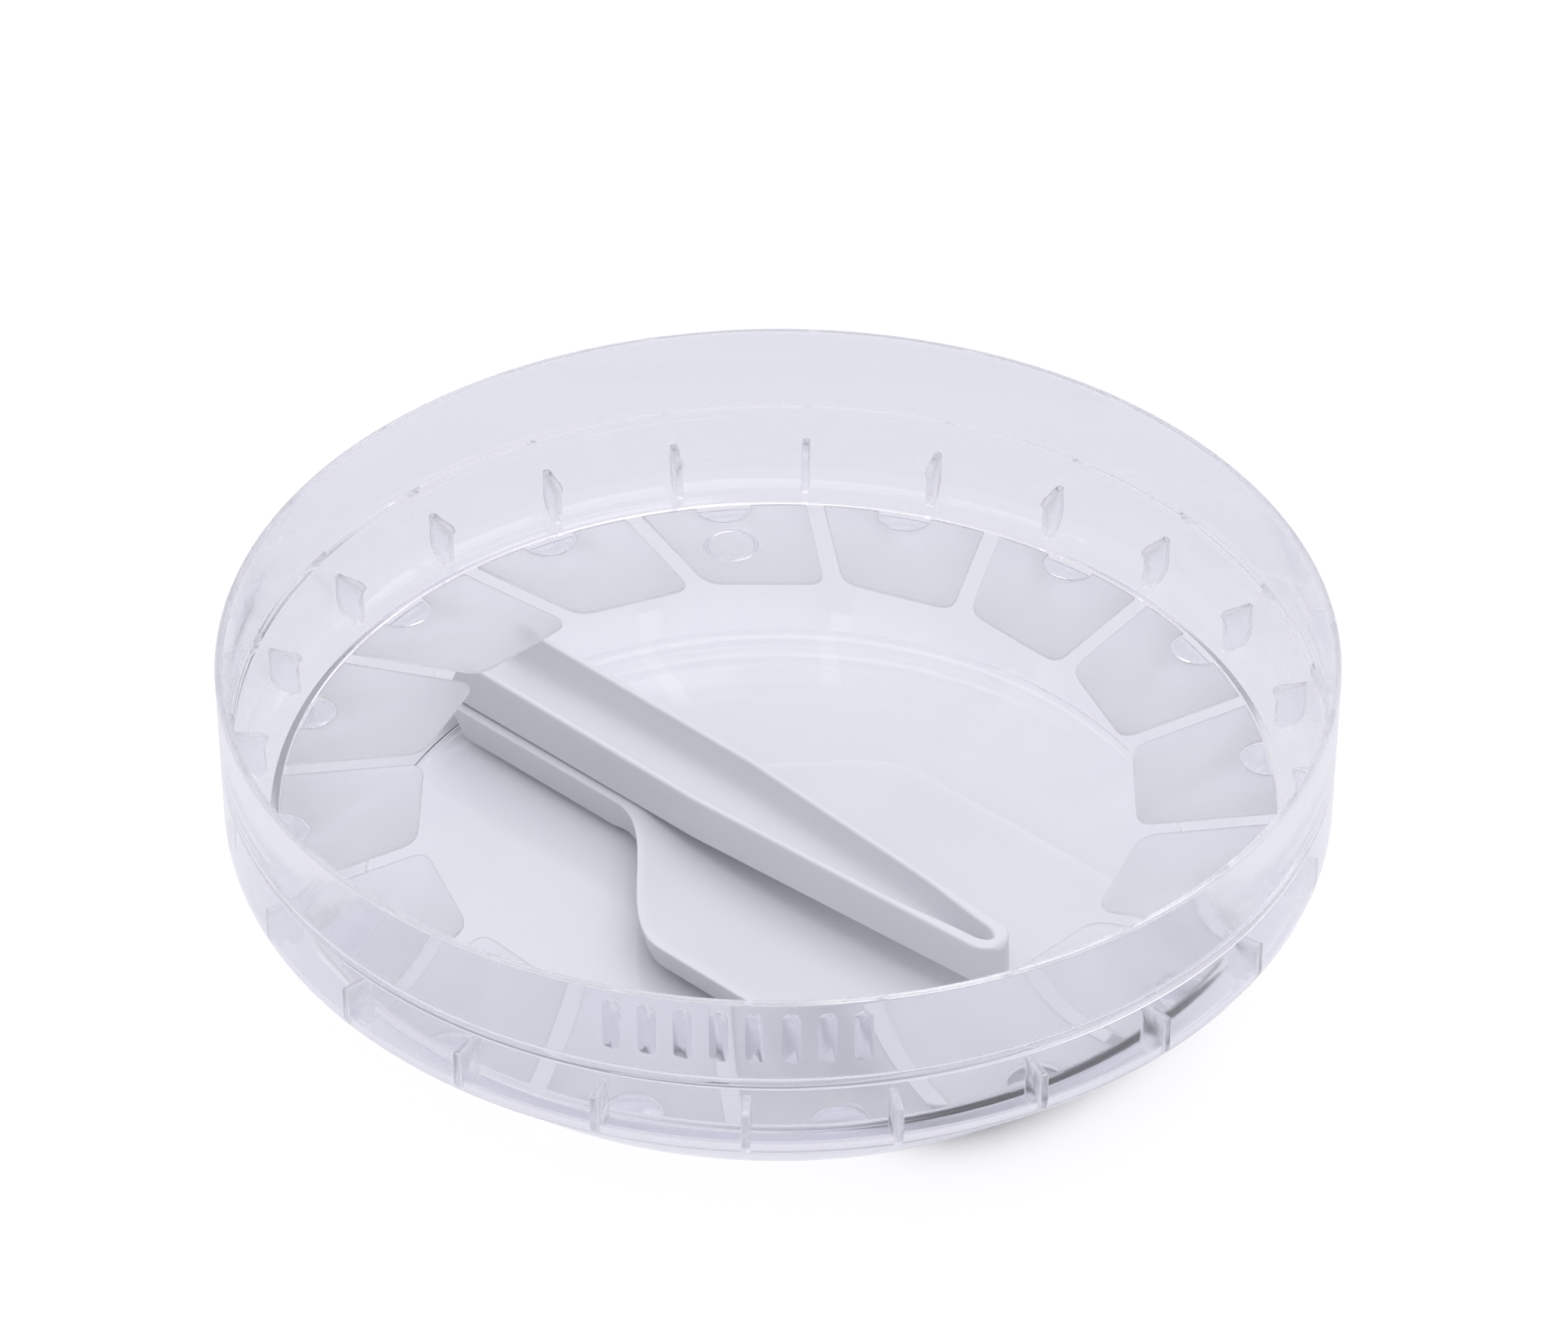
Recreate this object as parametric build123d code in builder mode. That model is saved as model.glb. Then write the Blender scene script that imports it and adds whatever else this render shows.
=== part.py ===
"""Clear food-pot lid that carries a folding spoon behind a ring of flexing flaps.

The lid stands on its own top face with the skirt up, as it is packed before use.
Millimetres, +Z up, origin at the middle of the face that it stands on.
"""

from build123d import *
import math
import os

# ---------------------------------------------------------------- driving dimensions
lid_radius = 47.5  # outside of the skirt
lid_height = 26.4  # resting face to skirt edge
skirt_wall = 0.7
chamber_wall = 0.8  # spoon chamber wall and floor

# skirt, snap bead and the corner where the skirt turns in to the shelf
skirt_bore = lid_radius - skirt_wall
bead_z = 17.75
bead_depth = 0.45
bead_half_height = 0.6
shelf_z = 10.2
hinge_radius = 42.9  # where the flaps meet the shelf
corner_radius = 1.8  # inside the skirt, where it meets the shelf

# spoon chamber
floor_radius = 35.4
wall_bow = 1.1  # how far the chamber wall bulges from a straight cone
base_round = 0.5

# radial fins, which stop the pot's rim
fin_count = 24
fin_phase = 86.8
fin_thickness = 0.7
fin_top_z = 14.5
fin_nose_radius = 43.9
fin_foot_radius = 44.2
fin_hook = 0.45

# flaps
flap_count = 16
flap_phase = 96.7
flap_top_z = 10.0
flap_thickness = 0.6
flap_tip_radius = 31.2
flap_swirl = 4.7  # degrees that a slot turns from its outer to its inner end
slot_width = 1.6
hinge_gap = 0.05
flap_tip_round = 1.6
half_disc_radius = 2.5
half_disc_height = 0.15

# row of plain raised bars inside the skirt
bar_count = 8
bar_pitch = 3.5
bar_middle = 266.0
bar_width = 1.5
bar_height = 5.0
bar_relief = 0.15
bar_middle_z = 22.4

# spoon, in its own frame: x along the spoon from hinge to bowl, z = 0 at the fold plane
spoon_angle = -42.9
spoon_shift = -0.5
fold_z = 4.4
fold_gap = 0.1
plate = 0.9
hinge_x = -38.8
web_radius = 0.35
web_half_width = 3.4
wall_start_x = -34.6
wall_ramp = 1.2
channel_wall = 0.9
handle_half_width = 4.1
handle_taper_x = -6.0
handle_tip_half_width = 2.2
handle_tip_x = 26.3
handle_depth = 4.5
handle_tip_depth = 3.7
stem_half_width = 4.8
stem_depth = 3.3
bowl_start_x = -13.5
bowl_flare = [(-6.5, 10.6), (-2.0, 14.9)]  # points on the flare from stem to bowl side
flare_start_slope = 0.3
bowl_half_width = 16.7
bowl_shoulder_x = 5.0
bowl_side_end_x = 29.0
bowl_end_x = 37.4
bowl_tip_corner = (34.8, 10.5)  # point on the rounded far end
bowl_depth = 3.3
bowl_wall = 0.8
bowl_round = 2.4

os.makedirs("parts", exist_ok=True)


def polar(radius, angle):
    """Point at a radius and an angle in degrees, counter-clockwise from +X."""
    return Vector(radius * math.cos(math.radians(angle)), radius * math.sin(math.radians(angle)))


# ---------------------------------------------------------------- lid shell
corner_x = skirt_bore - corner_radius
corner_z = shelf_z + corner_radius
outer_corner = corner_radius + skirt_wall
rim_z = lid_height - skirt_wall / 2  # where the rounded edge of the skirt starts
base_outer = floor_radius + chamber_wall
wall_foot_x = hinge_radius + chamber_wall
wall_foot_z = shelf_z - skirt_wall
flap_under_z = flap_top_z - flap_thickness
diagonal = math.sqrt(0.5)

with BuildPart() as fin:
    with BuildSketch(Plane.XZ):
        with BuildLine():
            mid_wall = corner_radius + skirt_wall / 2
            foot_z = shelf_z - skirt_wall / 2
            root_x = corner_x + mid_wall
            root = Line((root_x, fin_top_z), (fin_nose_radius + fin_hook, fin_top_z))
            nose = ThreePointArc(
                root @ 1,
                (fin_nose_radius, fin_top_z - fin_hook),
                (fin_nose_radius + fin_hook, fin_top_z - 3 * fin_hook),
            )
            Polyline(nose @ 1, (fin_foot_radius, foot_z), (corner_x, foot_z))
            ThreePointArc(
                (corner_x, foot_z),
                (corner_x + mid_wall * diagonal, corner_z - mid_wall * diagonal),
                (root_x, corner_z),
            )
            Line((root_x, corner_z), root @ 0)
        make_face()
    extrude(amount=fin_thickness / 2, both=True)

with BuildPart() as bar:
    with BuildSketch(Plane.YZ.offset(skirt_bore + skirt_wall / 2)):
        with Locations((0, bar_middle_z)):
            SlotOverall(bar_height, bar_width, rotation=90)
    extrude(amount=-(skirt_wall / 2 + bar_relief))

with BuildPart() as lid_shell:
    with BuildSketch(Plane.XZ):
        with BuildLine():
            Polyline(
                (0, chamber_wall),
                (0, 0),
                (base_outer - base_round, 0),
                (base_outer, base_round),
            )
            SagittaArc((base_outer, base_round), (wall_foot_x, wall_foot_z), -wall_bow)
            Line((wall_foot_x, wall_foot_z), (corner_x, wall_foot_z))
            ThreePointArc(
                (corner_x, wall_foot_z),
                (corner_x + outer_corner * diagonal, corner_z - outer_corner * diagonal),
                (lid_radius, corner_z),
            )
            Line((lid_radius, corner_z), (lid_radius, rim_z))
            ThreePointArc(
                (lid_radius, rim_z),
                (lid_radius - skirt_wall / 2, lid_height),
                (skirt_bore, rim_z),
            )
            Line((skirt_bore, rim_z), (skirt_bore, bead_z + bead_half_height))
            ThreePointArc(
                (skirt_bore, bead_z + bead_half_height),
                (skirt_bore - bead_depth, bead_z),
                (skirt_bore, bead_z - bead_half_height),
            )
            Line((skirt_bore, bead_z - bead_half_height), (skirt_bore, corner_z))
            ThreePointArc(
                (skirt_bore, corner_z),
                (corner_x + corner_radius * diagonal, corner_z - corner_radius * diagonal),
                (corner_x, shelf_z),
            )
            Polyline((corner_x, shelf_z), (hinge_radius, shelf_z), (hinge_radius, flap_under_z))
            SagittaArc((hinge_radius, flap_under_z), (floor_radius, chamber_wall), wall_bow)
            Line((floor_radius, chamber_wall), (0, chamber_wall))
        make_face()
    revolve(axis=Axis.Z)
    with PolarLocations(0, fin_count, start_angle=fin_phase):
        add(fin.part)
    first_bar = bar_middle - bar_pitch * (bar_count - 1) / 2
    bar_range = bar_pitch * bar_count
    with PolarLocations(0, bar_count, start_angle=first_bar, angular_range=bar_range, endpoint=False):
        add(bar.part)
lid_shell.part.label = "lid_shell"
export_step(lid_shell.part, "parts/lid_shell.step")

# ---------------------------------------------------------------- flaps
flap_pitch = 360 / flap_count
flap_outer = hinge_radius - hinge_gap


def slot_edge(angle, side):
    """Outer and inner end of one side of the slot at this angle."""
    outer = polar(hinge_radius, angle)
    inner = polar(flap_tip_radius, angle - flap_swirl)
    inward = (inner - outer).normalized()
    across = Vector(-inward.Y, inward.X) * (side * slot_width / 2)
    return outer - inward * slot_width + across, inner + across


for number in range(flap_count):
    middle = flap_phase - number * flap_pitch
    left_outer, left_inner = slot_edge(middle + flap_pitch / 2, 1)
    right_outer, right_inner = slot_edge(middle - flap_pitch / 2, -1)
    with BuildPart() as flap:
        with BuildSketch(Plane.XY.offset(flap_under_z)) as flap_plan:
            with BuildLine():
                Polyline(left_outer, left_inner, right_inner, right_outer, close=True)
            make_face()
            Circle(flap_outer, mode=Mode.INTERSECT)
            tip_corners = flap_plan.vertices().sort_by_distance((0, 0, flap_under_z))[:2]
            fillet(tip_corners, flap_tip_round)
        extrude(amount=flap_thickness)
        with BuildSketch(Plane.XY.offset(flap_top_z)):
            with Locations(polar(hinge_radius, middle)):
                Circle(half_disc_radius)
            Circle(flap_outer, mode=Mode.INTERSECT)
        extrude(amount=half_disc_height)
    flap.part.label = f"flap_{number + 1:02d}"
    export_step(flap.part, f"parts/flap_{number + 1:02d}.step")

# ---------------------------------------------------------------- folding spoon
spoon_side = polar(1, spoon_angle + 90)
spoon_origin = Vector(spoon_side.X * spoon_shift, spoon_side.Y * spoon_shift, fold_z)
spoon_plan = Plane(origin=spoon_origin, x_dir=polar(1, spoon_angle), z_dir=(0, 0, 1))
spoon_profile = Plane(origin=spoon_origin, x_dir=polar(1, spoon_angle), z_dir=-spoon_side)
plate_start_x = hinge_x + web_radius + hinge_gap
plate_top = fold_gap + plate


def handle_plan(inset, start_x):
    """Outline of the handle seen from above, drawn inset by the given amount."""
    half = handle_half_width - inset
    tip_half = handle_tip_half_width - inset
    tip_centre_x = handle_tip_x - handle_tip_half_width
    Polyline((tip_centre_x, tip_half), (handle_taper_x, half), (start_x, half), (start_x, -half))
    Polyline((start_x, -half), (handle_taper_x, -half), (tip_centre_x, -tip_half))
    ThreePointArc((tip_centre_x, -tip_half), (tip_centre_x + tip_half, 0), (tip_centre_x, tip_half))


with BuildPart() as spoon_handle:
    with BuildSketch(spoon_profile):
        with BuildLine():
            Polyline(
                (plate_start_x, fold_gap),
                (plate_start_x, plate_top),
                (wall_start_x - wall_ramp, plate_top),
                (wall_start_x, fold_gap + handle_depth),
                (handle_tip_x, fold_gap + handle_tip_depth),
                (handle_tip_x, fold_gap),
                close=True,
            )
        make_face()
    extrude(amount=handle_half_width, both=True)
    with BuildSketch(spoon_plan):
        with BuildLine():
            handle_plan(0, plate_start_x)
        make_face()
    extrude(amount=fold_gap + handle_depth, mode=Mode.INTERSECT)
    with BuildSketch(spoon_plan.offset(plate_top)):
        with BuildLine():
            handle_plan(channel_wall, plate_start_x - channel_wall)
        make_face()
    extrude(amount=handle_depth, mode=Mode.SUBTRACT)
spoon_handle.part.label = "spoon_handle"
export_step(spoon_handle.part, "parts/spoon_handle.step")

with BuildPart() as bowl_dish:
    with BuildSketch(spoon_plan.offset(-fold_gap)):
        with BuildLine():
            flare = Spline(
                (bowl_start_x, stem_half_width),
                *bowl_flare,
                (bowl_shoulder_x, bowl_half_width),
                tangents=((1, flare_start_slope), (1, 0)),
            )
            side = Line(flare @ 1, (bowl_side_end_x, bowl_half_width))
            tip = Spline(
                side @ 1,
                bowl_tip_corner,
                (bowl_end_x, 0),
                tangents=((1, 0), (0, -1)),
            )
            Line(tip @ 1, (bowl_start_x, 0))
            Line((bowl_start_x, 0), flare @ 0)
        make_face()
        mirror(about=Plane.XZ)
    extrude(amount=-bowl_depth)
    fillet(bowl_dish.faces().sort_by(Axis.Z)[0].edges(), bowl_round)
    offset(amount=-bowl_wall, openings=bowl_dish.faces().sort_by(Axis.Z)[-1])

with BuildPart() as spoon_bowl:
    stem_end_x = bowl_start_x + bowl_wall
    with BuildSketch(spoon_profile):
        with BuildLine():
            Polyline(
                (plate_start_x, -fold_gap),
                (plate_start_x, -plate_top),
                (wall_start_x - wall_ramp, -plate_top),
                (wall_start_x, -fold_gap - stem_depth),
                (stem_end_x, -fold_gap - stem_depth),
                (stem_end_x, -fold_gap),
                close=True,
            )
        make_face()
    extrude(amount=stem_half_width, both=True)
    with BuildSketch(spoon_profile):
        with Locations((plate_start_x, -plate_top)):
            Rectangle(
                bowl_start_x - plate_start_x, stem_depth, align=(Align.MIN, Align.MAX)
            )
    extrude(amount=stem_half_width - channel_wall, both=True, mode=Mode.SUBTRACT)
    add(bowl_dish.part)
spoon_bowl.part.label = "spoon_bowl"
export_step(spoon_bowl.part, "parts/spoon_bowl.step")

with BuildPart() as spoon_hinge_web:
    with BuildSketch(spoon_profile):
        with Locations((hinge_x, 0)):
            Circle(web_radius)
    extrude(amount=web_half_width, both=True)
spoon_hinge_web.part.label = "spoon_hinge_web"
export_step(spoon_hinge_web.part, "parts/spoon_hinge_web.step")
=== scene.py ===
"""Clear push-fit food-pot lid, standing on its top face, with a folded spoon behind a ring of flaps.

The lid is one clear moulding: floor, spoon chamber, shelf, skirt, push-fit bead, radial fins, a row
of bars, and sixteen frosted flaps hinged on the shelf. The spoon is white: a bowl leaf, and a handle
leaf folded over it about a round hinge bead.
"""

import math

import bmesh
import bpy
from mathutils import Matrix, Vector


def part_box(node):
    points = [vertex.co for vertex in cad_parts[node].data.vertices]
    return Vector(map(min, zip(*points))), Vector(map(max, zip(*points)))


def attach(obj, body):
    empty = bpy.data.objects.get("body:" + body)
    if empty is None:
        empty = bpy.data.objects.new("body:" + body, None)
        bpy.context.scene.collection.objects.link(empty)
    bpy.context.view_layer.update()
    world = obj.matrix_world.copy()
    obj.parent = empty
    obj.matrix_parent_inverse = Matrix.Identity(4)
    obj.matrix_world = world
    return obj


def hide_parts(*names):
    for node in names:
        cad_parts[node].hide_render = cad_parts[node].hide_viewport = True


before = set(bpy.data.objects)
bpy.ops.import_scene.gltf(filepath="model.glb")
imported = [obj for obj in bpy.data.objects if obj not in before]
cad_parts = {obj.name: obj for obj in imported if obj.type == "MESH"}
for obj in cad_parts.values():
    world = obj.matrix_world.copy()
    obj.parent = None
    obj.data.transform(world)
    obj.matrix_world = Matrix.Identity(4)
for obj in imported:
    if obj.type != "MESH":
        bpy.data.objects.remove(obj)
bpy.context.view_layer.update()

MM = 0.001

# ---------------------------------------------------------------- sizes, in millimetres
lid_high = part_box("lid_shell")[1]
lid_radius = lid_high.x / MM
lid_height = lid_high.z / MM
skirt_wall = 0.7
chamber_wall = 0.8
skirt_bore = lid_radius - skirt_wall
bead_z = 17.75
bead_depth = 0.45
bead_half_height = 0.6
bead_margin = 2.5 * bead_half_height
shelf_z = 10.2
hinge_radius = 42.9
hinge_edge_depth = 0.6
corner_radius = 1.8
corner_x = skirt_bore - corner_radius
corner_z = shelf_z + corner_radius
floor_radius = 35.4
wall_bow = 1.1
base_round = 0.5
edge_round = 0.12

# how finely the lid's section and its turn are divided
turn_steps = 256
bow_steps = 14
corner_steps = 16
rim_steps = 10
base_steps = 5
edge_steps = 3

# Clear pieces stand this far apart where they don't join, because light is lost between meshes that
# overlap. Points closer than the merge gap become one.
clear_gap = 0.02
bar_gap = 0.01
mark_gap = 0.005
merge_gap = 0.001

fin_count = 24
fin_phase = 86.8
fin_thickness = 0.7
fin_top_z = 14.5
fin_nose_radius = 43.9
fin_foot_radius = 44.2
fin_hook = 0.45
fin_root_sink = 0.6 * skirt_wall
fin_edge_round = 0.14
fin_top_round = 0.25
fin_nose_round = 0.2
fin_under_round = 0.4

flap_count = 16
flap_pitch = 360 / flap_count
flap_phase = 96.7
flap_top_z = 10.0
flap_tip_radius = 31.2
flap_swirl = 4.7
flap_thickness = 0.4
flap_edge_round = 0.13
slot_width = 1.6
flap_tip_round = 1.6
half_disc_radius = 2.5
half_disc_height = 0.15
half_disc_edge_round = 0.12
half_disc_steps = 16
hinge_steps = 6

bar_count = 8
bar_pitch = 3.5
bar_middle = 266.0
bar_width = 1.5
bar_height = 5.0
bar_relief = 0.09
bar_edge_round = 0.03
bar_middle_z = 22.4

# plain ring moulded on the first flap
mark_place = 36.6
mark_radius = 2.3
mark_width = 0.5
mark_top_share = 0.6
mark_relief = 0.1
mark_steps = 64

# spoon, in its own frame: s along it from hinge to bowl, t across it, z up from the fold plane
spoon_angle = -42.9
spoon_shift = -0.5
fold_z = 4.4
fold_gap = 0.1
plate = 0.9
hinge_s = -38.8
leaf_start_s = -38.4
leaf_end_round = 0.7
least_step = 0.01


# ---------------------------------------------------------------- small helpers
def polar(radius, angle, height=0.0):
    """Point at a radius and an angle in degrees, counter-clockwise from +X."""
    turn = math.radians(angle)
    return Vector((radius * math.cos(turn), radius * math.sin(turn), height))


def outward(points, angle):
    """Positive when the outline's normal points away from the lid's axis at this angle."""
    normal = (points[1] - points[0]).cross(points[len(points) // 2] - points[0])
    return normal.dot(polar(1, angle))


def smooth(value, start, end):
    """0 before start, 1 after end, an even S between them."""
    share = min(1.0, max(0.0, (value - start) / (end - start)))
    return share * share * (3 - 2 * share)


def mix(low, high, share):
    """Value that lies this share of the way from low to high."""
    return low + (high - low) * share


def arc(centre, radius, start, end, steps):
    """Points of a circular arc in a plane, angles in degrees."""
    points = []
    for step in range(steps + 1):
        turn = math.radians(mix(start, end, step / steps))
        x = centre[0] + radius * math.cos(turn)
        y = centre[1] + radius * math.sin(turn)
        points.append(Vector((x, y)))
    return points


def bowed(start, end, bow, steps):
    """Points of a shallow curve from start to end that stands bow to the right of the straight line."""
    start = Vector(start)
    end = Vector(end)
    run = (end - start).normalized()
    pull = (start + end) / 2 + Vector((run.y, -run.x)) * (2 * bow)
    shares = [step / steps for step in range(steps + 1)]
    return [start.lerp(pull, u).lerp(pull.lerp(end, u), u) for u in shares]


# a rounded corner takes at most this much of the sides that meet there, so that two never run together
corner_share = 0.48


def rounded(corners, steps=4):
    """Closed outline from corners (x, y, radius), each corner turned along a smooth curve."""
    points = []
    for index, (x, y, radius) in enumerate(corners):
        here = Vector((x, y))
        if radius == 0:
            points.append(here)
            continue
        before = Vector(corners[index - 1][:2]) - here
        after = Vector(corners[(index + 1) % len(corners)][:2]) - here
        reach = min(radius, before.length * corner_share, after.length * corner_share)
        start = here + before.normalized() * reach
        end = here + after.normalized() * reach
        for step in range(steps + 1):
            u = step / steps
            points.append(start.lerp(here, u).lerp(here.lerp(end, u), u))
    return points


def closed_loop(bm, points):
    """Edges of a closed loop through points in millimetres."""
    verts = [bm.verts.new(Vector(point) * MM) for point in points]
    return [bm.edges.new((verts[index - 1], verts[index])) for index in range(len(verts))]


def finish_piece(name, bm, body, material, sharp_angle=40.0):
    """Turn a bmesh into a piece that rides on a body, smooth except along its sharp edges."""
    for face in bm.faces:
        face.smooth = True
    for edge in bm.edges:
        edge.smooth = edge.calc_face_angle(0.0) < math.radians(sharp_angle)
    mesh = bpy.data.meshes.new(name)
    bm.to_mesh(mesh)
    bm.free()
    piece = bpy.data.objects.new(name, mesh)
    bpy.context.scene.collection.objects.link(piece)
    mesh.materials.append(material)
    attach(piece, body)
    return piece


def prism(bm, outline, thickness, edge_round=0.0, segments=2):
    """Plate from an outline of 3-D points in millimetres, thickened along the outline's normal."""
    verts = [bm.verts.new(Vector(point) * MM) for point in outline]
    face = bm.faces.new(verts)
    face.normal_update()
    lift = face.normal * (thickness * MM)
    swept = bmesh.ops.extrude_face_region(bm, geom=[face], use_keep_orig=True)
    top = [item for item in swept["geom"] if isinstance(item, bmesh.types.BMVert)]
    bmesh.ops.translate(bm, verts=top, vec=lift)
    sides = [f for v in verts for f in v.link_faces]
    solid = list(set(sides) | {f for v in top for f in v.link_faces})
    bmesh.ops.recalc_face_normals(bm, faces=solid)
    if edge_round:
        rims = [e for f in solid if len(f.verts) > 4 for e in f.edges]
        bmesh.ops.bevel(
            bm,
            geom=list(set(rims)),
            offset=edge_round * MM,
            affect="EDGES",
            segments=segments,
            profile=0.5,
            material=-1,
        )


# ---------------------------------------------------------------- materials
def linear(code):
    """Linear colour with full alpha from an sRGB hex code."""
    values = [int(code[index : index + 2], 16) / 255 for index in (0, 2, 4)]
    return [v / 12.92 if v <= 0.04045 else ((v + 0.055) / 1.055) ** 2.4 for v in values] + [1.0]


def add_node(tree, kind, settings=None, inputs=None):
    """Add a node, set its properties, and give each input a value or link an output to it."""
    made = tree.nodes.new(kind)
    for name, value in (settings or {}).items():
        setattr(made, name, value)
    for name, value in (inputs or {}).items():
        if isinstance(value, bpy.types.NodeSocket):
            tree.links.new(value, made.inputs[name])
        else:
            made.inputs[name].default_value = value
    return made


def new_material(name):
    """Empty node material and its tree."""
    material = bpy.data.materials.new(name)
    material.use_nodes = True
    material.node_tree.nodes.clear()
    return material, material.node_tree


plastic_ior = 1.49
trapped_depth = 9.5


def see_through(name, tint, shade, roughness, grain_mm, grain_depth_mm, grain_strength):
    """Moulded see-through polypropylene: refracting to the eye, and open to lamps and bounced light.

    Light that has bounced more than trapped_depth times is let out, as the plastic's own haze would do.
    """
    material, tree = new_material(name)
    place = add_node(tree, "ShaderNodeTexCoord")
    grain = add_node(
        tree,
        "ShaderNodeTexNoise",
        inputs={"Vector": place.outputs["Object"], "Scale": 1 / (grain_mm * MM), "Detail": 3.0},
    )
    bump = add_node(
        tree,
        "ShaderNodeBump",
        inputs={
            "Strength": grain_strength,
            "Distance": grain_depth_mm * MM,
            "Height": grain.outputs["Fac"],
        },
    )
    plastic = add_node(
        tree,
        "ShaderNodeBsdfPrincipled",
        inputs={
            "Base Color": linear(tint),
            "Roughness": roughness,
            "IOR": plastic_ior,
            "Transmission Weight": 1.0,
            "Normal": bump.outputs["Normal"],
        },
    )
    open_way = add_node(tree, "ShaderNodeBsdfTransparent", inputs={"Color": linear(shade)})
    path = add_node(tree, "ShaderNodeLightPath")
    lit = add_node(
        tree,
        "ShaderNodeMath",
        settings={"operation": "MAXIMUM"},
        inputs={0: path.outputs["Is Shadow Ray"], 1: path.outputs["Is Diffuse Ray"]},
    )
    trapped = add_node(
        tree,
        "ShaderNodeMath",
        settings={"operation": "GREATER_THAN"},
        inputs={0: path.outputs["Ray Depth"], 1: trapped_depth},
    )
    passes = add_node(
        tree,
        "ShaderNodeMath",
        settings={"operation": "MAXIMUM"},
        inputs={0: lit.outputs[0], 1: trapped.outputs[0]},
    )
    blend = add_node(
        tree,
        "ShaderNodeMixShader",
        inputs={0: passes.outputs[0], 1: plastic.outputs[0], 2: open_way.outputs[0]},
    )
    add_node(tree, "ShaderNodeOutputMaterial", inputs={"Surface": blend.outputs[0]})
    return material


def white_moulded(name):
    """White injection-moulded polypropylene with a satin surface and a little light inside it."""
    grain_mm = 0.35
    grain_depth_mm = 0.02
    cloud_mm = 14
    glow_depth_mm = 0.8
    material, tree = new_material(name)
    place = add_node(tree, "ShaderNodeTexCoord")
    grain = add_node(
        tree,
        "ShaderNodeTexNoise",
        inputs={"Vector": place.outputs["Object"], "Scale": 1 / (grain_mm * MM), "Detail": 4.0},
    )
    bump = add_node(
        tree,
        "ShaderNodeBump",
        inputs={"Strength": 0.12, "Distance": grain_depth_mm * MM, "Height": grain.outputs["Fac"]},
    )
    cloud = add_node(
        tree,
        "ShaderNodeTexNoise",
        inputs={"Vector": place.outputs["Object"], "Scale": 1 / (cloud_mm * MM), "Detail": 2.0},
    )
    shades = add_node(
        tree,
        "ShaderNodeMix",
        settings={"data_type": "RGBA"},
        inputs={0: cloud.outputs["Fac"], 6: linear("D8DADF"), 7: linear("DDDFE4")},
    )
    plastic = add_node(
        tree,
        "ShaderNodeBsdfPrincipled",
        inputs={
            "Base Color": shades.outputs[2],
            "Roughness": 0.34,
            "IOR": plastic_ior,
            "Subsurface Weight": 0.25,
            "Subsurface Radius": (1.0, 1.0, 1.0),
            "Subsurface Scale": glow_depth_mm * MM,
            "Normal": bump.outputs["Normal"],
        },
    )
    add_node(tree, "ShaderNodeOutputMaterial", inputs={"Surface": plastic.outputs[0]})
    return material


# Polished mould: the walls are clear, with slow waves where the melt cooled.
clear = see_through(
    "clear_polypropylene",
    tint="F2F2F6",
    shade="FFFFFF",
    roughness=0.06,
    grain_mm=7.0,
    grain_depth_mm=0.12,
    grain_strength=0.1,
)
# Spark-eroded mould: the flaps' faces scatter what is behind them.
frosted = see_through(
    "frosted_polypropylene",
    tint="F4F4F7",
    shade="FDFDFE",
    roughness=0.42,
    grain_mm=0.22,
    grain_depth_mm=0.03,
    grain_strength=0.35,
)
# Milled mould: the fins' faces are only slightly matt.
matt = see_through(
    "matt_polypropylene",
    tint="FCFCFE",
    shade="FFFFFF",
    roughness=0.2,
    grain_mm=1.5,
    grain_depth_mm=0.05,
    grain_strength=0.2,
)
white = white_moulded("white_polypropylene")


# ---------------------------------------------------------------- lid
def lid_section():
    """Closed section of the turned lid, x from the axis and y up."""
    outer_corner = corner_radius + skirt_wall
    wall_foot = (hinge_radius + chamber_wall, shelf_z - skirt_wall)
    base_outer = floor_radius + chamber_wall
    rim_z = lid_height - skirt_wall / 2
    centre = (corner_x, corner_z)
    edge_under = (hinge_radius, flap_top_z - hinge_edge_depth)
    bead = (bead_half_height**2 + bead_depth**2) / (2 * bead_depth)
    bead_centre = (skirt_bore - bead_depth + bead, bead_z)
    half_turn = math.degrees(math.asin(bead_half_height / bead))
    edge_centre = (hinge_radius + edge_round, shelf_z - edge_round)

    points = [Vector((0, 0)), Vector((floor_radius / 2, 0))]
    points += arc((base_outer - base_round, base_round), base_round, -90, 0, base_steps)
    points += bowed((base_outer, base_round), wall_foot, wall_bow, bow_steps)[1:]
    points += arc(centre, outer_corner, -90, 0, corner_steps)
    points += arc((lid_radius - skirt_wall / 2, rim_z), skirt_wall / 2, 0, 180, rim_steps)
    points += [Vector((skirt_bore, bead_z + bead_margin))]
    points += arc(bead_centre, bead, 180 - half_turn, 180 + half_turn, rim_steps)
    points += [Vector((skirt_bore, bead_z - bead_margin))]
    points += arc(centre, corner_radius, 0, -90, corner_steps)
    points += arc(edge_centre, edge_round, 90, 180, edge_steps)
    points += bowed(edge_under, (floor_radius, chamber_wall), -wall_bow, bow_steps)
    points += [Vector((floor_radius / 2, chamber_wall)), Vector((0, chamber_wall))]
    return points


def make_lid_body():
    """The turned shell: floor, chamber wall, shelf, skirt and bead."""
    bm = bmesh.new()
    edges = closed_loop(bm, [(p.x, 0, p.y) for p in lid_section()])
    on_axis = [e for e in edges if all(abs(v.co.x) < merge_gap * MM for v in e.verts)]
    bmesh.ops.delete(bm, geom=on_axis, context="EDGES")
    bmesh.ops.spin(
        bm,
        geom=bm.verts[:] + bm.edges[:],
        cent=(0, 0, 0),
        axis=(0, 0, 1),
        angle=math.tau,
        steps=turn_steps,
        use_merge=True,
    )
    bmesh.ops.remove_doubles(bm, verts=bm.verts[:], dist=merge_gap * MM)
    bmesh.ops.recalc_face_normals(bm, faces=bm.faces[:])
    lid = finish_piece("lid_body", bm, "lid", clear)
    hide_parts("lid_shell")


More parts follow.
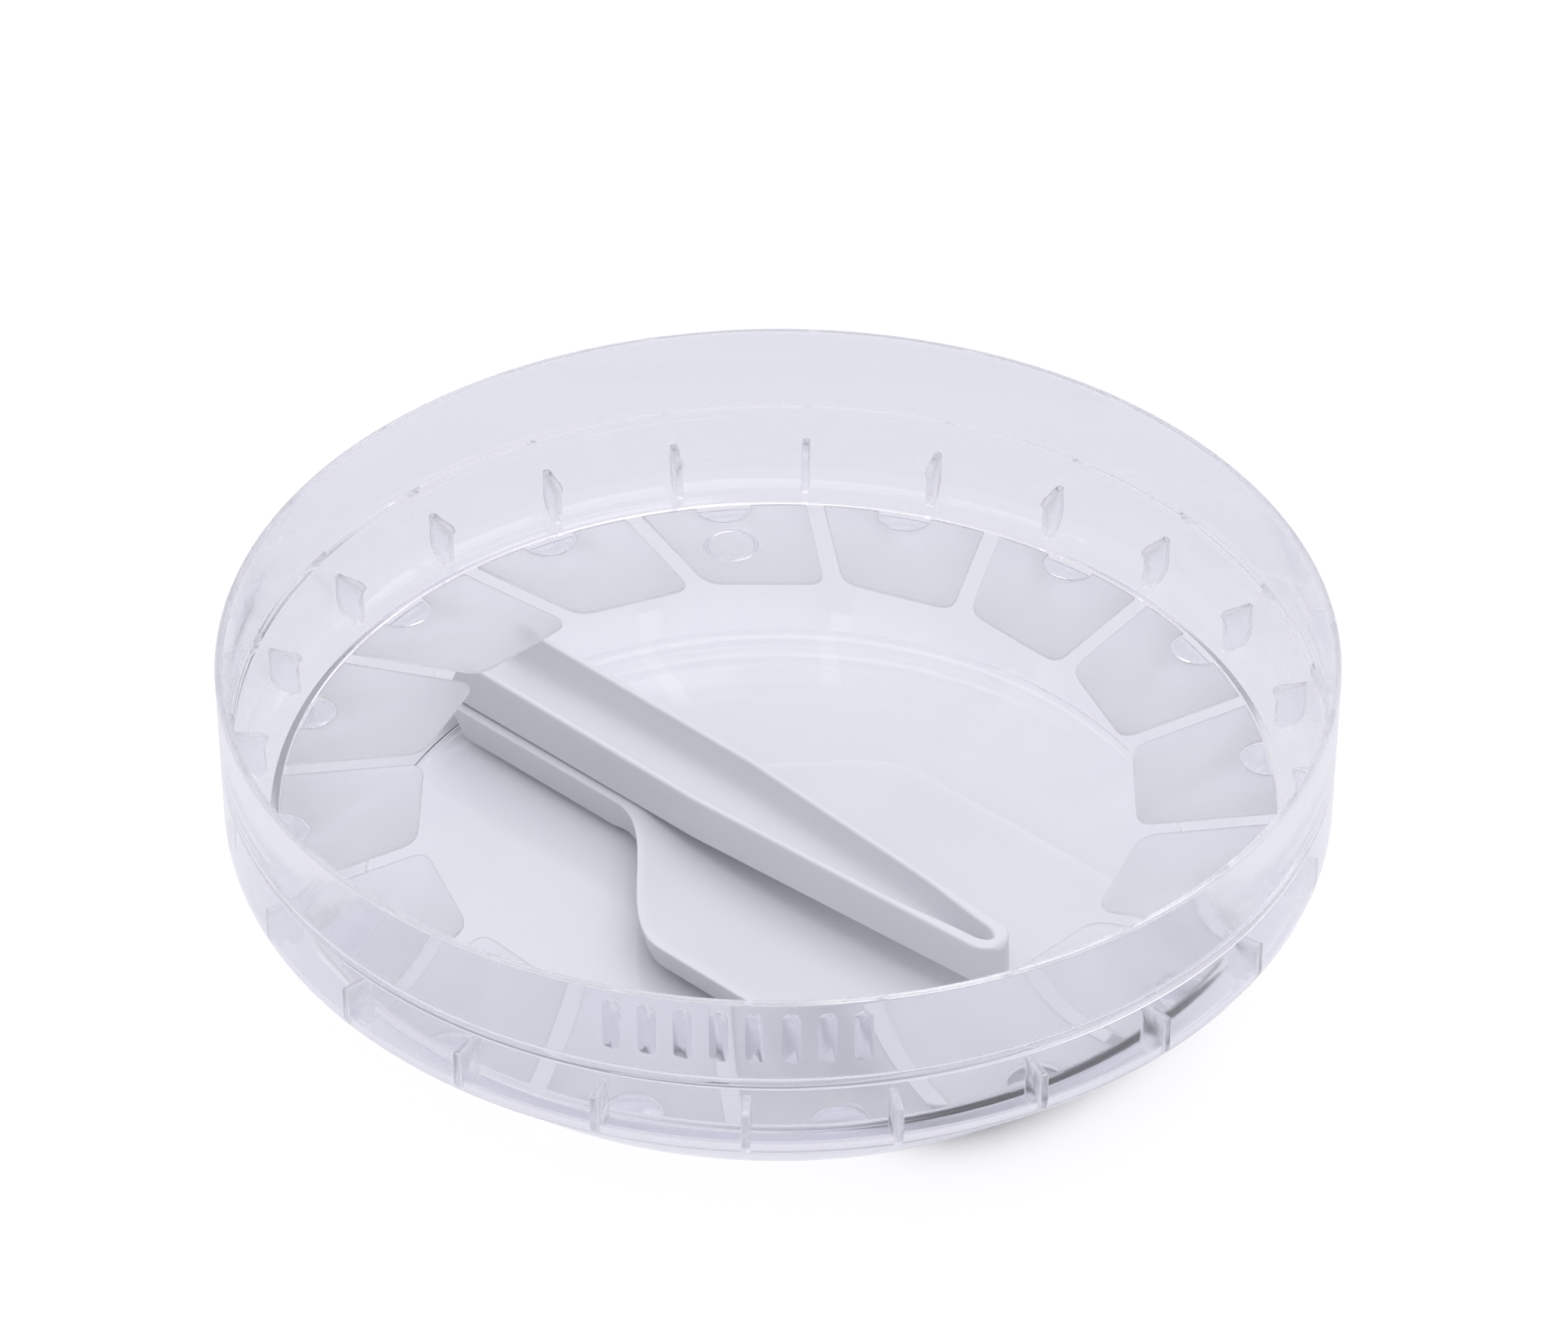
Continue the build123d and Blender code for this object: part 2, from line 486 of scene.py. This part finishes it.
def repeat_around(bm, count):
    """Copy everything in the bmesh evenly around the lid's axis, count in all."""
    bmesh.ops.spin(
        bm,
        geom=bm.verts[:] + bm.edges[:] + bm.faces[:],
        cent=(0, 0, 0),
        axis=(0, 0, 1),
        angle=math.tau * (count - 1) / count,
        steps=count - 1,
        use_duplicate=True,
    )


def make_fins():
    """Small upright plates in the corner under the bead, which the pot's rim comes to rest on."""
    bm = bmesh.new()
    root_radius = corner_radius + fin_root_sink
    root = arc((corner_x, corner_z), root_radius, -90, 0, rim_steps)
    corners = [(fin_foot_radius, shelf_z + clear_gap, 0)]
    corners += [(p.x, p.y, 0) for p in root]
    corners += [
        (corner_x + root_radius, fin_top_z, 0),
        (fin_nose_radius + fin_hook, fin_top_z, fin_top_round),
        (fin_nose_radius, fin_top_z - fin_hook, fin_nose_round),
        (fin_nose_radius + fin_hook, fin_top_z - 3 * fin_hook, fin_under_round),
    ]
    outline = [(p.x, -fin_thickness / 2, p.y) for p in rounded(corners, 3)]
    prism(bm, outline, fin_thickness, fin_edge_round)
    middle = sum((v.co.y for v in bm.verts), 0.0) / len(bm.verts)
    bmesh.ops.translate(bm, verts=bm.verts[:], vec=(0, -middle, 0))
    repeat_around(bm, fin_count)
    bmesh.ops.rotate(
        bm,
        verts=bm.verts[:],
        cent=(0, 0, 0),
        matrix=Matrix.Rotation(math.radians(fin_phase), 3, "Z"),
    )
    finish_piece("lid_fins", bm, "lid", matt)


def make_bars():
    """Plain raised bars on the inside of the skirt, side by side near its edge."""
    bm = bmesh.new()
    half_width = bar_width / 2
    half_height = bar_height / 2
    corners = [
        (half_width, half_height, half_width),
        (-half_width, half_height, half_width),
        (-half_width, -half_height, half_width),
        (half_width, -half_height, half_width),
    ]
    outline = rounded(corners, 6)
    face_radius = skirt_bore - bar_relief
    for number in range(bar_count):
        middle = bar_middle + bar_pitch * (number - (bar_count - 1) / 2)
        turned = []
        for point in outline:
            angle = middle + math.degrees(point.x / face_radius)
            turned.append(polar(face_radius, angle, bar_middle_z + point.y))
        if outward(turned, middle) < 0:
            turned.reverse()
        prism(bm, turned, bar_relief - bar_gap, bar_edge_round)
    finish_piece("lid_bars", bm, "lid", clear)


make_lid_body()
make_fins()
make_bars()


# ---------------------------------------------------------------- flaps
def slot_line(angle, side):
    """Outer and inner end of one side of the slot at this angle, in plan."""
    outer = polar(hinge_radius, angle)
    inner = polar(flap_tip_radius, angle - flap_swirl)
    inward = (inner - outer).normalized()
    across = Vector((-inward.y, inward.x, 0)) * (side * slot_width / 2)
    return outer + across, inner + across


def angle_of(point):
    """Direction of a point from the lid's axis, in degrees."""
    return math.degrees(math.atan2(point.y, point.x))


def make_flap(number):
    """Frosted plate with a half-round clear boss at its hinge."""
    middle = flap_phase - number * flap_pitch
    left_outer, left_inner = slot_line(middle + flap_pitch / 2, 1)
    right_outer, right_inner = slot_line(middle - flap_pitch / 2, -1)
    under = flap_top_z - flap_thickness
    hinge = hinge_radius - clear_gap
    hinge_shares = [step / hinge_steps for step in range(hinge_steps + 1)]

    disc_turn = math.degrees(half_disc_radius / hinge)
    left_turn = (angle_of(left_outer) - middle + 180) % 360 - 180
    right_turn = (angle_of(right_outer) - middle + 180) % 360 - 180
    disc_edge = []
    for step in range(half_disc_steps + 1):
        turn = math.pi * (step / half_disc_steps) - math.pi / 2
        inward = math.cos(turn) * half_disc_radius
        aside = math.sin(turn) * half_disc_radius
        radius = math.hypot(hinge - inward, aside) if 0 < step < half_disc_steps else hinge
        disc_edge.append((radius, middle + math.degrees(math.atan2(aside, hinge - inward))))
    rim = [(hinge, middle + mix(right_turn, -disc_turn, share)) for share in hinge_shares]
    rim += disc_edge[1:-1]
    rim += [(hinge, middle + mix(disc_turn, left_turn, share)) for share in hinge_shares]
    corners = [(point.x, point.y, flap_tip_round) for point in (left_inner, right_inner)]
    for radius, angle in rim:
        point = polar(radius, angle)
        corners.append((point.x, point.y, 0))
    bm = bmesh.new()
    prism(bm, [(p.x, p.y, under) for p in rounded(corners, 5)], flap_thickness, flap_edge_round)
    name = f"{number + 1:02d}"
    plate_piece = finish_piece(f"flap_plate_{name}", bm, f"flap_{name}", frosted)
    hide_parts(f"flap_{name}")

    bm = bmesh.new()
    outline = [polar(radius, angle, under) for radius, angle in disc_edge]
    for share in hinge_shares[1:-1]:
        outline.append(polar(hinge, middle + mix(disc_turn, -disc_turn, share), under))
    prism(bm, outline, flap_thickness + half_disc_height, half_disc_edge_round)
    finish_piece(f"flap_boss_{name}", bm, f"flap_{name}", clear)


def make_mark():
    """Plain raised ring on the first flap."""
    bm = bmesh.new()
    half = mark_width / 2
    top_half = half * mark_top_share
    foot = flap_top_z + mark_gap
    top = flap_top_z + mark_relief
    section = [
        (mark_radius - half, foot),
        (mark_radius + half, foot),
        (mark_radius + top_half, top),
        (mark_radius - top_half, top),
    ]
    closed_loop(bm, [(radius, 0, height) for radius, height in section])
    bmesh.ops.spin(
        bm,
        geom=bm.verts[:] + bm.edges[:],
        cent=(0, 0, 0),
        axis=(0, 0, 1),
        angle=math.tau,
        steps=mark_steps,
        use_merge=True,
    )
    bmesh.ops.remove_doubles(bm, verts=bm.verts[:], dist=merge_gap * MM)
    bmesh.ops.recalc_face_normals(bm, faces=bm.faces[:])
    bmesh.ops.translate(bm, verts=bm.verts[:], vec=polar(mark_place, flap_phase) * MM)
    finish_piece("flap_mark_01", bm, "flap_01", clear, sharp_angle=70.0)


for flap_number in range(flap_count):
    make_flap(flap_number)
make_mark()


# ---------------------------------------------------------------- spoon
along = polar(1, spoon_angle)
across = polar(1, spoon_angle + 90)
spoon_origin = across * spoon_shift + Vector((0, 0, fold_z))


def in_spoon(s, t, z):
    """Point in the lid's frame from the spoon's own place, in millimetres."""
    return spoon_origin + along * s + across * t + Vector((0, 0, z))


def loft(bm, sections):
    """Skin through closed sections that all have the same number of points, capped at both ends."""
    loops = [closed_loop(bm, section) for section in sections]
    for before, after in zip(loops, loops[1:]):
        bmesh.ops.bridge_loops(bm, edges=before + after)
    bmesh.ops.contextual_create(bm, geom=loops[0])
    bmesh.ops.contextual_create(bm, geom=loops[-1])
    bmesh.ops.recalc_face_normals(bm, faces=bm.faces[:])


# fewest sections between two marks, and how strongly they crowd towards the marks
fewest_sections = 7
crowding = 0.7


def stations(marks, spacing):
    """Places along the spoon that step evenly between marks, and closer near each mark."""
    places = []
    for start, end in zip(marks, marks[1:]):
        count = max(fewest_sections, round((end - start) / spacing))
        for step in range(count):
            share = step / count
            eased = mix(share, (1 - math.cos(math.pi * share)) / 2, crowding)
            places.append(mix(start, end, eased))
    return places + [marks[-1]]


def end_round(distance, radius):
    """How far an outline stands in from its full width, this far from a round end."""
    short = max(0.0, 1 - distance / radius)
    return radius * (1 - math.sqrt(max(0.0, 1 - short * short)))


# handle leaf: a channel, open at the top, that tapers to a round tip
handle_half = 4.1
handle_tip_half = 2.2
handle_taper_s = -6.0
handle_tip_s = 26.3
handle_depth = 4.5
handle_tip_depth = 3.7
handle_wall = 0.65
handle_tip_wall = 1.15
handle_wall_start_s = -34.8
handle_wall_run_in = 1.6
handle_wall_run_out = 0.6
handle_thicken_s = 14.0
handle_draft = 0.2
handle_least_wall = 0.3
handle_tip_round = 0.8
handle_foot_round = 0.25
handle_outer_round = 0.32
handle_inner_round = 0.28
channel_slope = 0.5
channel_round = 1.3
scoop_length = 1.7
scoop_past_end = 0.1

# half widths at which the tip and the channel stop, so that no section closes to a line
handle_end_half = math.sqrt(0.06)
channel_end_half = 0.08
channel_foot_half = 0.05

# one more place along the handle where its sections crowd, and their usual spacing
handle_crowd_s = 20.0
handle_spacing = 0.8


def handle_section(s):
    """Closed section of the handle leaf at this place along it, seen from its tip."""
    tip_centre = handle_tip_s - handle_tip_half
    taper = min(1.0, max(0.0, (s - handle_taper_s) / (tip_centre - handle_taper_s)))
    start_round = end_round(s - leaf_start_s, leaf_end_round)
    full_half = mix(handle_half, handle_tip_half, taper)
    half = full_half - start_round
    if s > tip_centre:
        round_end = handle_tip_half**2 - (s - tip_centre) ** 2
        half = math.sqrt(max(handle_end_half**2, round_end)) - start_round

    length_share = (s - handle_wall_start_s) / (handle_tip_s - handle_wall_start_s)
    full_top = fold_gap + mix(handle_depth, handle_tip_depth, max(0.0, length_share))
    full_top -= end_round(handle_tip_s - s, handle_tip_round)
    rise_start = handle_wall_start_s - handle_wall_run_in
    rise = smooth(s, rise_start, handle_wall_start_s + handle_wall_run_out)
    top = mix(fold_gap + plate, full_top, rise)

    # the channel narrows in a half-ellipse at its end, while its floor rises to the top
    wall = mix(handle_wall, handle_tip_wall, smooth(s, handle_thicken_s, tip_centre))
    inner_end = handle_tip_s - handle_tip_wall
    scoop_share = min(1.0, max(0.0, (s - inner_end + scoop_length) / scoop_length))
    inner_half = full_half - start_round - handle_draft - wall
    inner_half *= math.sqrt(max(0.0, 1 - scoop_share**2))
    inner_half = max(channel_end_half, min(inner_half, half - handle_draft - handle_least_wall))
    foot_half = max(channel_foot_half, inner_half - channel_slope)
    scoop_rise = smooth(s, inner_end - scoop_length, inner_end + scoop_past_end)
    highest = top - least_step
    channel_floor = min(highest, mix(fold_gap + plate, highest, scoop_rise))

    right = [
        (half, fold_gap, handle_foot_round),
        (half - handle_draft * rise, top, handle_outer_round),
        (inner_half, top, handle_inner_round),
        (foot_half, channel_floor, channel_round),
    ]
    left = [(-t, z, r) for t, z, r in reversed(right)]
    return [in_spoon(s, p.x, p.y) for p in rounded(right + left, 4)]


def make_handle():
    """Handle leaf, lofted from its start at the hinge to its tip."""
    bm = bmesh.new()
    channel_end_s = handle_tip_s - handle_tip_wall
    marks = [leaf_start_s, handle_wall_start_s, handle_taper_s, handle_crowd_s]
    marks += [channel_end_s - scoop_length, channel_end_s, handle_tip_s - least_step]
    loft(bm, [handle_section(s) for s in stations(marks, handle_spacing)])
    handle = finish_piece("spoon_handle_leaf", bm, "handle", white)
    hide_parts("spoon_handle")


# bowl leaf: a stem, hollow underneath, that widens into a shallow dish
stem_half = 4.8
stem_depth = 3.3
stem_wall_start_s = -34.9
bowl_half = 16.7
bowl_flare_start_s = -14.5
bowl_flare_end_s = 2.0
bowl_side_end_s = 29.0
bowl_end_s = 37.4
bowl_depth = 3.1
bowl_end_depth = 1.6
bowl_inside_depth = 2.4
bowl_rim = 0.5
bowl_rim_share = 0.3
stem_wall_run = 1.4
stem_draft = 0.35
bowl_draft = 0.85
dish_lead = 1.0
dish_run = 4.0

# the stem's hollow under side ends between these places, its walls are this thick at foot and root
hollow_end_start_s = -15.0
hollow_end_s = -13.0
stem_foot_wall = 0.85
stem_root_wall = 1.0
bowl_foot_share = 0.9
bowl_root_share = 0.8

# The bowl's outline and hollow are rounded squares, and these powers say how square.
bowl_outline_power = 2.4
bowl_outline_root = 1 / 2.1
hollow_length_power = 2.6
hollow_width_power = 2.3
hollow_shift = 1.5
hollow_steps = 12
leaf_least_half = 0.15

# roundings of the bowl leaf's upper and lower edges
flat_upper_round = 0.2
stem_upper_round = 1.4
bowl_upper_round = 0.25
stem_lower_round = 0.25
bowl_lower_round = 2.4
wall_foot_round = 0.2
wall_root_round = 0.3
leaf_spacing = 0.6


def leaf_half_width(s):
    """Half the width of the bowl leaf at this place along it."""
    half = mix(stem_half, bowl_half, smooth(s, bowl_flare_start_s, bowl_flare_end_s))
    if s > bowl_side_end_s:
        share = (s - bowl_side_end_s) / (bowl_end_s - bowl_side_end_s)
        half = bowl_half * max(0.0, 1 - share**bowl_outline_power) ** bowl_outline_root
    return max(leaf_least_half, half - end_round(s - leaf_start_s, leaf_end_round))


def leaf_section(s):
    """Closed section of the bowl leaf: a channel open below along the stem, a dish along the bowl."""
    half = leaf_half_width(s)
    dish = smooth(s, bowl_flare_start_s - dish_lead, bowl_flare_start_s + dish_run)
    walls = smooth(s, stem_wall_start_s, stem_wall_start_s + stem_wall_run)
    depth = mix(plate, mix(stem_depth, bowl_depth, dish), walls)
    end_share = max(0.0, (s - bowl_side_end_s) / (bowl_end_s - bowl_side_end_s))

    middle_s = (bowl_flare_start_s + bowl_end_s) / 2 + hollow_shift
    reach = (bowl_end_s - bowl_flare_start_s) / 2
    length_share = abs((s - middle_s) / reach)
    hollow = max(0.0, 1 - length_share**hollow_length_power) * dish * bowl_inside_depth
    rim_half = half - min(bowl_rim, half * bowl_rim_share)
    top = []
    for step in range(1, hollow_steps + 1):
        share = step / hollow_steps
        top.append((rim_half * share, -fold_gap - hollow * (1 - share**hollow_width_power), 0))

    bottom = -fold_gap - mix(depth, bowl_end_depth, end_share**3)
    draft = mix(stem_draft, bowl_draft, dish) * walls
    solid = max(smooth(s, hollow_end_start_s, hollow_end_s), 1 - walls)
    under = mix(-fold_gap - plate, bottom, solid)
    upper_round = mix(stem_upper_round, bowl_upper_round, dish)
    lip = max(0.0, half - draft)
    in_bowl = dish > 0.5
    right = top + [
        (half, -fold_gap, mix(flat_upper_round, upper_round, walls)),
        (lip, bottom, mix(stem_lower_round, bowl_lower_round, dish)),
        (lip * bowl_foot_share if in_bowl else lip - stem_foot_wall, bottom, wall_foot_round),
        (lip * bowl_root_share if in_bowl else lip - stem_root_wall, under, wall_root_round),
    ]
    left = [(-t, z, r) for t, z, r in reversed(right)]
    ring = right + [(0, under, 0)] + left + [(0, -fold_gap - hollow, 0)]
    return [in_spoon(s, p.x, p.y) for p in rounded(ring, 4)]


def make_bowl():
    """Bowl leaf, lofted from its start at the hinge to the bowl's far end."""
    bm = bmesh.new()
    marks = [leaf_start_s, stem_wall_start_s, bowl_flare_start_s, bowl_side_end_s]
    marks += [bowl_end_s - 2 * least_step]
    loft(bm, [leaf_section(s) for s in stations(marks, leaf_spacing)])
    bowl = finish_piece("spoon_bowl_leaf", bm, "spoon", white)
    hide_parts("spoon_bowl")


# hinge between the leaves: a round bead that both leaves run into, folded or open
hinge_bead_radius = 0.45
hinge_bead_half = 3.9
hinge_bead_end_round = 0.15


def make_hinge_bead():
    """Round bar across the spoon, with rounded ends."""
    bm = bmesh.new()
    bmesh.ops.create_cone(
        bm,
        cap_ends=True,
        segments=32,
        radius1=hinge_bead_radius * MM,
        radius2=hinge_bead_radius * MM,
        depth=2 * hinge_bead_half * MM,
    )
    rims = [e for e in bm.edges if any(len(f.verts) > 4 for f in e.link_faces)]
    bmesh.ops.bevel(
        bm,
        geom=rims,
        offset=hinge_bead_end_round * MM,
        affect="EDGES",
        segments=3,
        profile=0.5,
        material=-1,
    )
    turn = across.to_track_quat("Z", "Y").to_matrix()
    bmesh.ops.rotate(bm, verts=bm.verts[:], cent=(0, 0, 0), matrix=turn)
    bmesh.ops.translate(bm, verts=bm.verts[:], vec=in_spoon(hinge_s, 0, 0) * MM)
    bead = finish_piece("spoon_hinge_bead", bm, "spoon", white)
    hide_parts("spoon_hinge_web")


make_handle()
make_bowl()
make_hinge_bead()


# ---------------------------------------------------------------- floor, light and camera
floor_half = 6000
floor_drop = 0.1


def make_floor():
    """Pale paper floor: white to the eye, with painted shade: greyer where it is seen through the
    plastic, and darker in the light it bounces.
    """
    bm = bmesh.new()
    bmesh.ops.create_grid(bm, x_segments=1, y_segments=1, size=floor_half * MM)
    mesh = bpy.data.meshes.new("floor")
    bm.to_mesh(mesh)
    bm.free()
    floor = bpy.data.objects.new("floor", mesh)
    floor.location.z = -floor_drop * MM
    bpy.context.scene.collection.objects.link(floor)
    material, tree = new_material("pale_floor")
    path = add_node(tree, "ShaderNodeLightPath")
    # painted shade: the floor is greyer where it is seen through the plastic, and darker still in the
    # light it bounces onto the lid and spoon
    painted_floor_shade = add_node(
        tree,
        "ShaderNodeMix",
        settings={"data_type": "RGBA"},
        inputs={0: path.outputs["Is Diffuse Ray"], 6: linear("EAEAEF"), 7: linear("C8C8CE")},
    )
    shades = add_node(
        tree,
        "ShaderNodeMix",
        settings={"data_type": "RGBA"},
        inputs={0: path.outputs["Is Camera Ray"], 6: painted_floor_shade.outputs[2], 7: linear("FCFCFC")},
    )
    paper = add_node(tree, "ShaderNodeBsdfDiffuse", inputs={"Color": shades.outputs[2]})
    add_node(tree, "ShaderNodeOutputMaterial", inputs={"Surface": paper.outputs[0]})
    mesh.materials.append(material)


def area_light(name, place, target, width, power):
    """Square soft light of a width in metres, pointed at its target."""
    lamp = bpy.data.lights.new(name, "AREA")
    lamp.size = width
    lamp.energy = power
    holder = bpy.data.objects.new(name, lamp)
    holder.location = place
    holder.rotation_euler = (Vector(target) - Vector(place)).to_track_quat("-Z", "Y").to_euler()
    bpy.context.scene.collection.objects.link(holder)


def make_world():
    """Studio walls: even where the plastic shows them, brighter above for the light they give."""
    world = bpy.data.worlds.new("studio")
    world.use_nodes = True
    world.node_tree.nodes.clear()
    tree = world.node_tree
    path = add_node(tree, "ShaderNodeLightPath")
    place = add_node(tree, "ShaderNodeTexCoord")
    axes = add_node(tree, "ShaderNodeSeparateXYZ", inputs={0: place.outputs["Generated"]})
    rise = add_node(
        tree,
        "ShaderNodeMapRange",
        inputs={
            "Value": axes.outputs["Z"],
            "From Min": 0.1,
            "From Max": 0.9,
            "To Min": 0.3,
            "To Max": 1.15,
        },
    )
    fill = add_node(
        tree,
        "ShaderNodeBackground",
        inputs={"Color": linear("F4F4F6"), "Strength": rise.outputs["Result"]},
    )
    walls = add_node(tree, "ShaderNodeBackground", inputs={"Color": linear("ECECF1"), "Strength": 1.0})
    sky = add_node(
        tree,
        "ShaderNodeMixShader",
        inputs={0: path.outputs["Is Diffuse Ray"], 1: walls.outputs[0], 2: fill.outputs[0]},
    )
    add_node(tree, "ShaderNodeOutputWorld", inputs={"Surface": sky.outputs[0]})
    bpy.context.scene.world = world


camera_place = (0, -400.3, 325.6)
camera_target = (0.49, -1.61, 24.25)
camera_lens = 135.85


def make_camera():
    """Long lens from the front, 37 degrees above the table."""
    camera = bpy.data.cameras.new("camera")
    camera.sensor_width = 36.0
    camera.lens = camera_lens
    camera.clip_start = 0.01
    holder = bpy.data.objects.new("camera", camera)
    holder.location = Vector(camera_place) * MM
    target = Vector(camera_target) * MM
    holder.rotation_euler = (target - holder.location).to_track_quat("-Z", "Y").to_euler()
    bpy.context.scene.collection.objects.link(holder)
    bpy.context.scene.camera = holder


make_floor()
make_world()
area_light("softbox_above", place=(0.12, 0.12, 0.85), target=(0, 0, 0), width=0.9, power=2.2)
area_light("softbox_back", place=(-0.1, 0.7, 0.2), target=(0, 0, 0.01), width=0.15, power=0.14)
make_camera()
bpy.context.scene.view_settings.view_transform = "Standard"

# Light turns round many times inside a clear wall, and walls would go dark at fewer bounces.
bounces = 24
bpy.context.scene.cycles.max_bounces = bounces
bpy.context.scene.cycles.glossy_bounces = bounces
bpy.context.scene.cycles.transmission_bounces = bounces
bpy.context.scene.cycles.transparent_max_bounces = bounces
